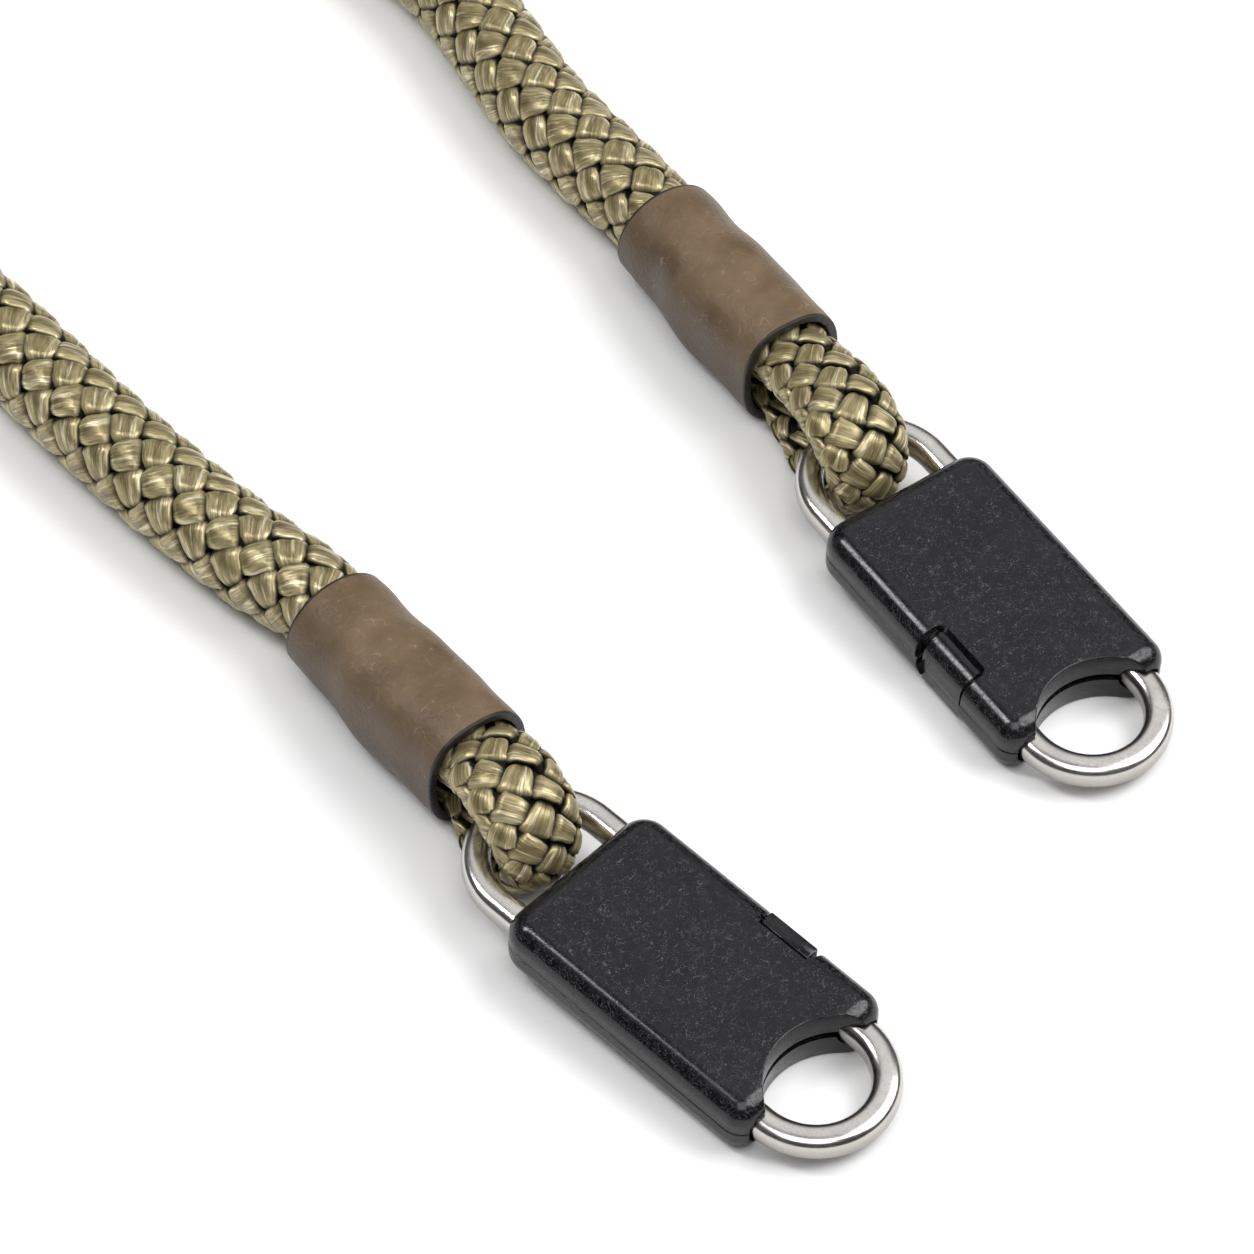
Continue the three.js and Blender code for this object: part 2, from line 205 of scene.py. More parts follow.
def new_piece(name, bm, *finishes):
    """A smoothly shaded piece with its finishes, which rides on the strap."""
    for face in bm.faces:
        face.smooth = True
    piece = as_object(bm, name)
    for key in finishes:
        piece.data.materials.append(finish[key])
    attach(piece, "root")
    return piece


def lay_grid(bm, places):
    """A grid of faces with its corners at places in millimetres: rows along, columns round."""
    rows, columns = places.shape[:2]
    made = bmesh.ops.create_grid(bm, x_segments=columns - 1, y_segments=rows - 1, size=0.5)
    for vert in made["verts"]:
        column = round((vert.co.x + 0.5) * (columns - 1))
        row = round((vert.co.y + 0.5) * (rows - 1))
        vert.co = places[row, column] * MM
    return made["verts"]


def close_tubes(bm):
    """Joins each curled grid along its seam, closes its ends and turns its faces outwards."""
    bmesh.ops.remove_doubles(bm, verts=bm.verts, dist=SAME_CORNER)
    rims = [edge for edge in bm.edges if edge.is_boundary]
    bmesh.ops.holes_fill(bm, edges=rims, sides=0)
    bmesh.ops.recalc_face_normals(bm, faces=bm.faces)


# %% The way of a strand
STRANDS_EACH_WAY = 6
# The length of one winding, a strand's thickness, how deep it dips, in millimetres, and how briskly.
LAY = 35.2
STRAND_THICK = 0.8
STRAND_WAVE = 0.48
STRAND_TUCK = 2.3
# Slow waves make it uneven: size in radians, rate along the rope, and shift by strand and by hand.
STRAND_STRAY = [(0.022, 0.31, 2.4, 1.0), (0.015, 0.83, 1.0, 0.0)]


def unit(vectors):
    return vectors / np.linalg.norm(vectors, axis=-1, keepdims=True)


def strand_paths(course, hand):
    """One hand's strands: centres, ways out and heights, a row for each step, a column for each strand."""
    number = np.arange(STRANDS_EACH_WAY)
    along = course["along"]
    swing = np.cos(2 * STRANDS_EACH_WAY * math.pi * along / LAY)
    lift = hand * np.tanh(STRAND_TUCK * swing) / math.tanh(STRAND_TUCK)
    sunk = STRAND_WAVE * (1 - lift) + STRAND_THICK / 2
    angle = hand * 2 * math.pi * along[:, None] / LAY + 2 * math.pi * number / STRANDS_EACH_WAY
    for size, rate, by_strand, by_hand in STRAND_STRAY:
        angle = angle + size * np.sin(along[:, None] * rate + number * by_strand + hand * by_hand)
    half_wide = (course["width"] / 2 - sunk)[:, None]
    half_thick = (course["thick"] / 2 - sunk)[:, None]
    across = (half_wide * np.cos(angle))[..., None] * course["side"][:, None]
    up = (half_thick * np.sin(angle))[..., None] * course["up"][:, None]
    outward = unit(
        (np.cos(angle) / half_wide)[..., None] * course["side"][:, None]
        + (np.sin(angle) / half_thick)[..., None] * course["up"][:, None]
    )
    return course["centre"][:, None] + across + up, outward, lift, hand * swing


print("a strand meets another every", round(LAY / 2 / STRANDS_EACH_WAY, 2), "mm")

# %% Strands as ribbons
# The share of the space to its neighbour that a strand fills, its limits, and how it narrows where it dips.
STRAND_FILL = 0.91
STRAND_WIDTHS = (1.6, 6.3)
STRAND_NARROWS = 0.06
# The ribbon's section, all round it: across from -1 to 1, and up from -1 to 1.
RIBBON = [
    (-1.0, -0.5), (-0.97, 0.3), (-0.8, 0.78), (-0.42, 1.0), (0.0, 0.72), (0.42, 1.0),
    (0.8, 0.78), (0.97, 0.3), (1.0, -0.5), (0.0, -0.9), (-1.0, -0.5),
]


def square_to(vectors, forward):
    """The part of each vector that stands square to the way forward."""
    return vectors - (vectors * forward).sum(-1, keepdims=True) * forward


def add_strands(bm, course, hand, picks):
    """Lays some of one hand's strands, and marks each corner's place along and across its strand."""
    centres, outward, lift, crest = strand_paths(course, hand)
    forward = unit(np.gradient(centres, axis=0))
    normal = unit(square_to(outward, forward))
    across = np.cross(forward, normal)
    apart = square_to(np.roll(centres, -1, axis=1) - centres, forward)
    wide = np.clip(STRAND_FILL * np.linalg.norm(apart, axis=-1), *STRAND_WIDTHS)
    wide = wide * (1 - STRAND_NARROWS * (1 - lift))[:, None]
    ribbon = np.array(RIBBON, float)
    length = distance_along(centres[:, 0])
    marks = bm.verts.layers.float_vector["strand"]
    number = bm.verts.layers.float["strand_number"]
    for k in picks:
        side = wide[:, k, None] / 2 * ribbon[None, :, 0]
        rise = STRAND_THICK / 2 * ribbon[None, :, 1] - side**2 / ROPE_ACROSS
        sideways = side[..., None] * across[:, k, None]
        upwards = rise[..., None] * normal[:, k, None]
        places = centres[:, k, None] + sideways + upwards
        for vert, (row, column) in zip(lay_grid(bm, places), np.ndindex(*places.shape[:2])):
            vert[marks] = (length[row], ribbon[column, 0], crest[row])
            vert[number] = k + STRANDS_EACH_WAY * (hand > 0)


print("a ribbon has", len(RIBBON) - 1, "corners")

# %% A core and the whole braid
CORE_SIDES = 12
CORE_EVERY = 6
# The core is marked as a strand's edge, fully dipped, so it gets the painted shade below the strands and is
# dark.
CORE_MARK = (0.0, 1.0, -1.0)


def add_core(bm, course, depth):
    """A plain tube under the strands, which fills the gaps between them."""
    turn = (2 * math.pi * np.arange(CORE_SIDES + 1) / CORE_SIDES)[None, :, None]
    thin = {key: value[::CORE_EVERY] for key, value in course.items()}
    half_wide = (thin["width"] / 2 - depth)[:, None, None]
    half_thick = (thin["thick"] / 2 - depth)[:, None, None]
    across = half_wide * np.cos(turn) * thin["side"][:, None]
    up = half_thick * np.sin(turn) * thin["up"][:, None]
    marks = bm.verts.layers.float_vector["strand"]
    for vert in lay_grid(bm, thin["centre"][:, None] + across + up):
        vert[marks] = CORE_MARK


def braid(name, course, hands, picks, core=0.0):
    """A braided piece: the picked strands of one or both hands, and perhaps the core."""
    bm = bmesh.new()
    bm.verts.layers.float_vector.new("strand")
    bm.verts.layers.float.new("strand_number")
    for hand in hands:
        add_strands(bm, course, hand, picks)
    if core:
        add_core(bm, course, core)
    close_tubes(bm)
    piece = new_piece(name, bm, "braid")
    print(name, len(piece.data.polygons), "faces")
    return piece


print("the core has", CORE_SIDES, "sides")

# %% [markdown]
# ## Finishes
# Each finish is a set of shader nodes that follow the piece itself. Pictures could be painted on, but they
# would have to come from outside. Uneven colour and short fine lines turn up in several finishes, so they are
# two shared groups, patches and fine lines, which spread a noise to a mask from 0 to 1.

# %% Nodes by name
def add(tree, kind, **settings):
    """A node with its settings, and its input values given by socket name."""
    node = tree.nodes.new("ShaderNode" + kind)
    for key, value in settings.pop("props", {}).items():
        setattr(node, key, value)
    for key, value in settings.items():
        node.inputs[key.replace("_", " ")].default_value = value
    return node


def join(source, target):
    """A link between two sockets. A socket's id_data is the tree that it is in."""
    source.id_data.links.new(source, target)


def sums(operation, *values):
    """A Math node. Each value may be another node's socket, or a number after the first."""
    node = add(values[0].id_data, "Math", props={"operation": operation})
    for socket, value in zip(node.inputs, values):
        if isinstance(value, float):
            socket.default_value = value
        else:
            join(value, socket)
    return node.outputs["Value"]


def split(vector):
    """The three numbers of a vector, as sockets."""
    node = add(vector.id_data, "SeparateXYZ")
    join(vector, node.inputs["Vector"])
    return node.outputs


def spread(source, low, high, to_low=0.0, to_high=1.0):
    ends = {"From_Min": low, "From_Max": high, "To_Min": to_low, "To_Max": to_high}
    node = add(source.id_data, "MapRange", **ends)
    join(source, node.inputs["Value"])
    return node.outputs["Result"]


def mix_colours(mask, first, second):
    """A colour between two, by a mask. Each may be a colour or another node's socket."""
    node = add(mask.id_data, "Mix", props={"data_type": "RGBA"})
    join(mask, node.inputs["Factor"])
    for socket, value in ((node.inputs[6], first), (node.inputs[7], second)):
        if isinstance(value, tuple):
            socket.default_value = (*value, 1.0)
        else:
            join(value, socket)
    return node.outputs[2]


print("finishes", len(finish))

# %% Two shared groups
def noise_group(name, noise_inputs, props, **settings):
    """A group that spreads a noise to a mask, with its place, fineness and range as inputs."""
    group = bpy.data.node_groups.new(name, "ShaderNodeTree")
    sockets = group.interface
    range_inputs = ("From Min", "From Max")
    sockets.new_socket(name="Vector", in_out="INPUT", socket_type="NodeSocketVector")
    for label in (*noise_inputs, *range_inputs):
        sockets.new_socket(name=label, in_out="INPUT", socket_type="NodeSocketFloat")
    sockets.new_socket(name="Mask", in_out="OUTPUT", socket_type="NodeSocketFloat")
    start = group.nodes.new("NodeGroupInput")
    end = group.nodes.new("NodeGroupOutput")
    noise = add(group, "TexNoise", props=props, **settings)
    mask = add(group, "MapRange")
    for label in ("Vector", *noise_inputs):
        join(start.outputs[label], noise.inputs[label])
    for label in range_inputs:
        join(start.outputs[label], mask.inputs[label])
    join(noise.outputs["Fac"], mask.inputs["Value"])
    join(mask.outputs["Result"], end.inputs["Mask"])
    return group


RIDGED = {"noise_type": "RIDGED_MULTIFRACTAL", "normalize": False}
PATCHES = noise_group("patches", ("Scale",), {}, Detail=4.0, Roughness=0.6)
FINE_LINES = noise_group("fine_lines", ("Scale", "Distortion"), RIDGED, Offset=1.0, Detail=0.0)


def place_group(group, spot, values):
    """A shared group in a finish, with its values in the order of its sockets."""
    node = spot.id_data.nodes.new("ShaderNodeGroup")
    node.node_tree = group
    join(spot, node.inputs["Vector"])
    for socket, value in zip(list(node.inputs)[1:], values):
        socket.default_value = value
    return node.outputs["Mask"]


print("groups", [group.name for group in (PATCHES, FINE_LINES)])

# %% A new finish
def new_finish(name, **values):
    """A material with one Principled shader, its plain values set on its own sockets."""
    material = bpy.data.materials.new(name)
    material.use_nodes = True
    tree = material.node_tree
    shader = tree.nodes["Principled BSDF"]
    for key, value in values.items():
        shader.inputs[key.replace("_", " ")].default_value = value
    finish[name] = material
    return tree, shader


def object_place(tree):
    return add(tree, "TexCoord").outputs["Object"]


def connect(shader, colour, roughness, height, depth):
    """Joins colour, roughness and relief, of a depth in metres, to a finish's shader."""
    relief = add(shader.id_data, "Bump", Distance=depth)
    join(height, relief.inputs["Height"])
    join(relief.outputs["Normal"], shader.inputs["Normal"])
    join(colour, shader.inputs["Base Color"])
    join(roughness, shader.inputs["Roughness"])


print("finishes", len(finish))

# %% [markdown]
# ### Braid finish
# Each strand is a flat bundle of fine, slightly glossy filaments. The strand's own attribute gives the place
# along it and across it, so the filaments run with the strand, and how far it has dipped under its
# neighbours, where painted shade darkens the colour. Its sides and a few streaks are painted lighter as
# highlights. A pattern on Object coordinates would run across the strands.

# %% Braid finish
# Strand colours: the lighter sides and the pale streak are painted highlights, and the colour below the
# strands is painted shade.
BRAID_MIDDLE = ((0.19, 0.147, 0.063), (0.30, 0.245, 0.115))
BRAID_HIGHLIT_SIDES = ((0.375, 0.306, 0.147), (0.61, 0.52, 0.284))
PAINTED_STREAK_HIGHLIGHT = (0.92, 0.84, 0.58)
BETWEEN_FILAMENTS = (0.06, 0.045, 0.018)
PAINTED_SHADE_BELOW_STRANDS = (0.010, 0.0075, 0.003)
# Patches: how fine they are, and the part of the noise that is spread.
BRAID_TONE = (2.2, 0.3, 0.7)
HIGHLIGHT_STREAK_PATCHES = (2.6, 0.53, 0.68)
BRAID_ROUGHNESS = (0.95, 0.3)
# From where to where on a strand its sides are painted lighter as a highlight, its rim is painted darker as
# shade and the painted shade of its dip fades out.
SIDES_PAINTED_LIGHTER = (0.05, 0.72)
RIM_PAINTED_DARKER = (1.0, 0.88)
DIP_PAINTED_SHADE_FADES = (0.0, 0.45)
# How far apart strands lie in the noise, how slowly it changes along them, its fineness, shades and depth.
STRAND_APART = 3.1
SLOW_ALONG = 0.06
FILAMENT_SCALE = 8.0
FILAMENT_SHADES = (0.34, 0.62, 0.42, 1.0)
FILAMENT_DEPTH = 0.00005


def filament_place(tree, along, across):
    """A place in the noise that changes slowly along a strand and quickly across it."""
    number = add(tree, "Attribute", props={"attribute_name": "strand_number"})
    thread = add(tree, "CombineXYZ")
    join(sums("MULTIPLY", along, SLOW_ALONG), thread.inputs["X"])
    apart = sums("MULTIPLY_ADD", number.outputs["Fac"], STRAND_APART, across)
    join(apart, thread.inputs["Y"])
    return thread.outputs["Vector"]


def braid_finish():
    tree, shader = new_finish("braid", Metallic=0.4)
    marks = add(tree, "Attribute", props={"attribute_name": "strand"})
    along, across, crest = split(marks.outputs["Vector"])
    thread = filament_place(tree, along, across)
    filaments = add(tree, "TexNoise", Scale=FILAMENT_SCALE, Detail=2.0, Roughness=0.6)
    join(thread, filaments.inputs["Vector"])
    edge = sums("ABSOLUTE", across)
    tone = place_group(PATCHES, thread, BRAID_TONE)
    highlight_streaks = place_group(PATCHES, thread, HIGHLIGHT_STREAK_PATCHES)
    middle = mix_colours(tone, *BRAID_MIDDLE)
    sides = mix_colours(tone, *BRAID_HIGHLIT_SIDES)
    # Painted highlights: a strand's sides lighter than its middle, and streaks lighter still.
    side_highlit_tone = mix_colours(spread(edge, *SIDES_PAINTED_LIGHTER), middle, sides)
    shine = mix_colours(highlight_streaks, side_highlit_tone, PAINTED_STREAK_HIGHLIGHT)
    fine = spread(filaments.outputs["Fac"], *FILAMENT_SHADES)
    threads = mix_colours(fine, BETWEEN_FILAMENTS, shine)
    # Painted shade: the colour goes dark where a strand dips under its neighbours and along its rims.
    risen = spread(crest, *DIP_PAINTED_SHADE_FADES)
    off_edge = spread(edge, *RIM_PAINTED_DARKER)
    seen = sums("MULTIPLY", risen, off_edge)
    colour = mix_colours(seen, PAINTED_SHADE_BELOW_STRANDS, threads)
    roughness = spread(seen, 0.0, 1.0, *BRAID_ROUGHNESS)
    connect(shader, colour, roughness, filaments.outputs["Fac"], FILAMENT_DEPTH)
    return finish["braid"]


print("finish", braid_finish().name)

# %% [markdown]
# ## The rope
# The whole loop is braided, also where the camera doesn't see it. As one piece it would be too heavy, so its
# strands are shared out over four pieces, every second strand of each hand, and one of them carries the core.

# %% Steps along the rope
ROPE_STEPS_PER_TURN = 100
TABLE_UP = np.array([0.0, 0.0, 1.0])


def even_steps(line, per_turn):
    """The line in equal steps, so many to a winding, and each step's distance along it."""
    reach = distance_along(line)
    along = np.linspace(0.0, reach[-1], int(reach[-1] / LAY * per_turn))
    columns = [np.interp(along, reach, column) for column in line.T]
    return np.stack(columns, axis=1), along


def level_course(line):
    """Steps along a line on the table, with the directions across it and up from it."""
    centre, along = even_steps(line, ROPE_STEPS_PER_TURN)
    forward = unit(np.gradient(centre, axis=0))
    side = unit(np.cross(forward, TABLE_UP))
    from_end = np.minimum(along, along[-1] - along) - ROPE_INSIDE
    girth = np.interp(from_end, *zip(*ROPE_GIRTH))
    up = np.cross(side, forward)
    return {"centre": centre, "side": side, "up": up, "along": along, "width": girth, "thick": girth}


rope_course = level_course(rope_path)
print("rope in", len(rope_course["along"]), "steps")

# %% Rope
EVEN = range(0, STRANDS_EACH_WAY, 2)
ODD = range(1, STRANDS_EACH_WAY, 2)
ROPE_CORE_DEPTH = 1.7
rope = braid("rope_right_even", rope_course, (1,), EVEN, core=ROPE_CORE_DEPTH)
rope_others = [
    braid("rope_right_odd", rope_course, (1,), ODD),
    braid("rope_left_even", rope_course, (-1,), EVEN),
    braid("rope_left_odd", rope_course, (-1,), ODD),
]
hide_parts("rope")

# %% [markdown]
# ## The eyes
# The same braid runs on round the ring's bar. There it is pressed flat, and its strands open out on the
# outside of the bend, so each strand is as wide as the space to its neighbour. The crossings could be
# counted along the middle, but along the outside they stay as long as on the rope.

# %% Steps round an eye
EYE_STEPS = 16
EYE_STEPS_PER_TURN = 180
# The eye's upper run in the sleeve: along from the sleeve's rear, height, width, thickness, drift.
UPPER_RUN = [
    (7.6, 7.05, 11.4, 11.4, 0.0), (9.0, 7.05, 11.4, 11.4, 0.0), (11.8, 7.6, 11.4, 11.1, 0.0),
    (15.2, 8.8, 11.3, 10.4, 0.0), (19.0, 9.6, 11.1, 9.7, 0.0), (24.0, 10.1, 10.9, 8.9, 0.0),
    (29.2, 10.3, 10.8, 7.8, 0.0),
]
# The eye round the bar: ahead of the bar, height, width, thickness, drift.
ROUND_BAR = [
    (-2.8, 12.7, 11.7, 7.2, 0.25), (1.4, 13.1, 12.2, 7.2, 0.5), (5.8, 11.5, 12.0, 7.2, 0.8),
    (7.9, 7.0, 10.2, 6.2, 1.0), (4.6, 3.0, 10.0, 4.7, 1.0), (0.0, 2.25, 10.2, 4.0, 0.7),
]
# The eye's tail, back in the sleeve, in the upper run's columns.
TAIL_RUN = [(28.8, 3.05, 8.5, 3.1, 0.0), (21.5, 3.05, 8.5, 3.1, 0.0), (17.0, 2.7, 8.4, 2.5, 0.0)]


def eye_line(end):
    """The eye's centre line with its width and thickness, in the eye's own frame."""
    drift = ENDS[end]["drift"]
    rear = ENDS[end]["sleeve_rear"]
    table = []
    for run, start in ((UPPER_RUN, rear), (ROUND_BAR, 0.0), (TAIL_RUN, rear)):
        table += [(drift * d, start - ahead, z, wide, thick) for ahead, z, wide, thick, d in run]
    return smooth_line(table, EYE_STEPS)


def eye_course(end):
    """Steps along an eye, from inside the sleeve, over the ring's bar and back under it."""
    steps, _ = even_steps(eye_line(end), EYE_STEPS_PER_TURN)
    matrix = np.array(eye_matrix(end))
    centre = steps[:, :3] @ matrix[:3, :3].T + matrix[:3, 3]
    forward = unit(np.gradient(centre, axis=0))
    across = np.broadcast_to(matrix[:3, 0], forward.shape)
    up = unit(np.cross(across, forward))
    side = np.cross(forward, up)
    wide, thick = steps[:, 3], steps[:, 4]
    along = distance_along(centre - up * thick[:, None] / 2)
    return {"centre": centre, "side": side, "up": up, "along": along, "width": wide, "thick": thick}


eye_courses = {end: eye_course(end) for end in ENDS}
print("eyes in", [len(course["along"]) for course in eye_courses.values()], "steps")

# %% Eyes
EYE_CORE_DEPTH = 1.5
for end in ENDS:
    strands = range(STRANDS_EACH_WAY)
    braid("eye_" + end, eye_courses[end], (1, -1), strands, core=EYE_CORE_DEPTH)
    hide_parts("rope_eye_" + end)

# %% [markdown]
# ## The rings
# A ring is one steel wire with a rounded square section, bent to an oval. It could be a bevelled curve, but a
# section that is drawn straight back, spun half a turn, drawn forward and spun back to where it began keeps
# its straight sides straight.

# %% The clip's own frame
HOUSING = {"length": 38.8, "width": 24.3, "height": 8.0, "edge": 2.7, "rear": 3.4, "front": 2.8}
HALF_LONG = HOUSING["length"] / 2
HALF_WIDE = HOUSING["width"] / 2
HALF_HIGH = HOUSING["height"] / 2
CLIP_PITCH = math.radians(3.5)


def clip_matrix(end):
    """The clip's own frame: tips towards -Y, the tab shell towards +Z, laid on the table."""
    spot = ENDS[end]
    ahead = HALF_LONG - HOUSING["edge"]
    below = HALF_HIGH - HOUSING["edge"]
    lift = ahead * math.sin(CLIP_PITCH) + below * math.cos(CLIP_PITCH) + HOUSING["edge"]
    turn = Matrix.Rotation(math.radians(spot["clip_turn"]), 4, "Z")
    pitch = Matrix.Rotation(CLIP_PITCH, 4, "X")
    over = Matrix.Rotation(math.pi if spot["turned_over"] else 0.0, 4, "Y")
    x, y = spot["clip"]
    middle = Matrix.Translation((x - ORIGIN[0], y - ORIGIN[1], lift))
    return Matrix.Scale(MM, 4) @ middle @ turn @ pitch @ over


print("clips at", {end: [round(v, 4) for v in clip_matrix(end).translation] for end in ENDS})

# %% Wire bent to an oval
WIRE = 3.6
WIRE_SQUARENESS = 2.8
RING = {"centre_width": 16.9, "past_front": 9.8, "past_rear": 13.6}
RING_WELD = 1e-4


def wire_reach(angle, clearance):
    """How far the wire's skin is from its middle, in one direction."""
    spread_out = abs(math.cos(angle)) ** WIRE_SQUARENESS + abs(math.sin(angle)) ** WIRE_SQUARENESS
    return (WIRE / 2 + clearance) / spread_out ** (1 / WIRE_SQUARENESS)


def only_edges(items):
    return [item for item in items if isinstance(item, bmesh.types.BMEdge)]


def half_turn(bm, edges, centre, steps):
    """Spins a section half a turn, and gives the section it ends on."""
    spun = bmesh.ops.spin(
        bm, geom=edges, cent=(0.0, centre, 0.0), axis=(0.0, 0.0, 1.0), dvec=(0.0, 0.0, 0.0),
        angle=math.pi, steps=steps, use_merge=False, use_duplicate=False,
    )
    return only_edges(spun["geom_last"])


def draw_straight(bm, edges, distance):
    """Draws a section straight along Y, and gives the section it ends on."""
    pulled = bmesh.ops.extrude_edge_only(bm, edges=edges)["geom"]
    verts = [item for item in pulled if isinstance(item, bmesh.types.BMVert)]
    bmesh.ops.translate(bm, verts=verts, vec=(0.0, distance, 0.0))
    return [edge for edge in only_edges(pulled) if all(vert in verts for vert in edge.verts)]


def ring_mesh(clearance, section_sides, bend_steps):
    """The ring in the clip's own frame, in millimetres."""
    bend = RING["centre_width"] / 2
    front = -(HALF_LONG + RING["past_front"] - WIRE / 2 - bend)
    rear = HALF_LONG + RING["past_rear"] - WIRE / 2 - bend
    bm = bmesh.new()
    made = bmesh.ops.create_circle(bm, segments=section_sides, radius=1.0)
    for vert in made["verts"]:
        angle = math.atan2(vert.co.y, vert.co.x)
        reach = wire_reach(angle, clearance)
        vert.co = (bend + reach * math.cos(angle), front, reach * math.sin(angle))
    rear_start = draw_straight(bm, list(bm.edges), rear - front)
    rear_end = half_turn(bm, rear_start, rear, bend_steps)
    front_start = draw_straight(bm, rear_end, front - rear)
    half_turn(bm, front_start, front, bend_steps)
    bmesh.ops.remove_doubles(bm, verts=bm.verts, dist=RING_WELD)
    bmesh.ops.recalc_face_normals(bm, faces=bm.faces)
    return bm


print("ring", RING["centre_width"] + WIRE, "mm wide")

# %% [markdown]
# ### Steel finish
# The wire is satin stainless steel, a little blotchy and finely pitted, with painted shade that darkens its
# sides where they face down. A mirror would show the room too sharply, so its roughness and colour vary in
# soft patches.

# %% Steel finish
STEEL_SHADES = ((0.64, 0.615, 0.58), (0.74, 0.72, 0.69))
STEEL_PIT = (0.52, 0.50, 0.47)
STEEL_PAINTED_SHADE = (0.33, 0.31, 0.285)
STEEL_BLOTCHES = (260.0, 0.35, 0.7)
STEEL_PITS = (3600.0, 0.5, 0.8)
STEEL_ROUGHNESS = (0.2, 0.28)
PIT_DEPTH = -0.0000015
# From how far down to how far up a side faces, the steel goes from painted shade to its own colour.
FACING_DOWN_PAINTED_SHADE = (-0.25, 0.75)


def steel_finish():
    tree, shader = new_finish("steel", Metallic=1.0)
    spot = object_place(tree)
    blotch = place_group(PATCHES, spot, STEEL_BLOTCHES)
    pits = place_group(PATCHES, spot, STEEL_PITS)
    tone = mix_colours(blotch, *STEEL_SHADES)
    pitted = mix_colours(pits, tone, STEEL_PIT)
    facing = split(add(tree, "NewGeometry").outputs["Normal"])
    # Painted shade: the steel darkens where its sides face down.
    out_of_painted_shade = spread(facing["Z"], *FACING_DOWN_PAINTED_SHADE)
    colour = mix_colours(out_of_painted_shade, STEEL_PAINTED_SHADE, pitted)
    roughness = spread(blotch, 0.0, 1.0, *STEEL_ROUGHNESS)
    connect(shader, colour, roughness, pits, PIT_DEPTH)
    return finish["steel"]


print("finish", steel_finish().name)

# %% Rings
RING_FINENESS = {"section_sides": 32, "bend_steps": 40}
for end in ENDS:
    bm = ring_mesh(0.0, **RING_FINENESS)
    bmesh.ops.transform(bm, matrix=clip_matrix(end), verts=bm.verts)
    new_piece("wire_ring_" + end, bm, "steel")
    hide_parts("ring_" + end)

# %% [markdown]
# ## The sleeves
# A sleeve is a strip of smooth leather closed round both runs of the eye, so it is round over the single
# rope and taller over the two. Cloth simulation suits padding, but stout leather holds its form, so a tube of
# faces is drawn to those sections, given the leather's thickness, and its cut edges are rounded over.

# %% The leather tube
LEATHER = 1.1
SLEEVE_SIDES = 72
SLEEVE_STEPS = 8
# Along from the rear, width, height, squareness, and how far the section leans to one side.
SLEEVE_SECTIONS = [
    (0.0, 14.2, 13.95, 2.0, 0.05), (1.2, 14.3, 14.1, 2.0, 0.05), (6.0, 14.2, 14.4, 2.05, 0.0),
    (8.8, 14.3, 14.6, 2.15, -0.1), (12.0, 14.6, 15.0, 2.3, -0.3), (16.5, 14.6, 15.4, 2.4, -0.3),
    (22.0, 14.3, 15.8, 2.5, -0.15), (28.3, 14.0, 16.1, 2.5, 0.0), (29.5, 13.9, 16.0, 2.5, 0.0),
]
SLEEVE_LONG = SLEEVE_SECTIONS[-1][0]
# Slight dents: depth, how many round the tube, how they turn along it, and where they start.
DENTS = [(0.10, 2, 0.42, 0.0), (0.07, 3, -0.63, 1.0)]
# They fade over this length at both ends, to these shares.
DENT_FADE = 4
DENT_LEFT = {"rear": 0.2, "front": 0.25}
SLEEVE_ON_TABLE = 0.05


def sleeve_places(end):
    """Corners of the tube's outside in the eye's own frame."""
    along, wide, high, square, lean = smooth_line(SLEEVE_SECTIONS, SLEEVE_STEPS).T[:, :, None]
    angle = 2 * math.pi * np.arange(SLEEVE_SIDES + 1) / SLEEVE_SIDES
    wave = 0.0
    for depth, round_it, rate, start in DENTS:
        wave = wave + depth * np.sin(angle * round_it + along * rate + start)
    wave = wave * np.clip(along / DENT_FADE, DENT_LEFT["rear"], 1)
    wave = wave * np.clip((SLEEVE_LONG - along) / DENT_FADE, DENT_LEFT["front"], 1)
    across = np.sign(np.cos(angle)) * np.abs(np.cos(angle)) ** (2 / square)
    up = np.sign(np.sin(angle)) * np.abs(np.sin(angle)) ** (2 / square)
    x = across * (wide / 2 + wave) + lean
    z = np.maximum(up * (high / 2 + wave) + high / 2, SLEEVE_ON_TABLE)
    y = np.broadcast_to(ENDS[end]["sleeve_rear"] - along, x.shape)
    return np.stack([x, y, z], axis=-1)


print("sleeve", SLEEVE_LONG, "mm long, in", sleeve_places("a").shape[:2], "corners")

# %% [markdown]
# ### Leather finishes
# The leather is a satin brown with a fine grain and a few short scuffs, and painted shade darkens it low on
# its sides, so it is lighter on top.
# Its cut edges are burnished nearly black. Both come from one function, so their grain and gloss agree.

# %% Leather finishes
LEATHER_SHADES = ((0.106, 0.068, 0.036), (0.176, 0.119, 0.069))
LEATHER_SCUFF = (0.29, 0.22, 0.15)
LEATHER_PAINTED_SHADE = (0.036, 0.023, 0.012)
BURNISHED_SHADES = ((0.012, 0.010, 0.009), (0.028, 0.022, 0.018))
LEATHER_CLOUDS = (130.0, 0.35, 0.68)
LEATHER_GRAIN = (1700.0, 0.3, 0.7)
LEATHER_LINES = (640.0, 0.0, 0.93, 0.985)
LEATHER_FEW = (520.0, 0.5, 0.66)
LEATHER_ROUGHNESS = (0.38, 0.5)
LEATHER_GLOSS = 0.4
GRAIN_DEPTH = 0.00005
# Heights in metres between which the painted shade gives way to the leather's own colour.
PAINTED_SHADE_HEIGHTS = (0.002, 0.0145)


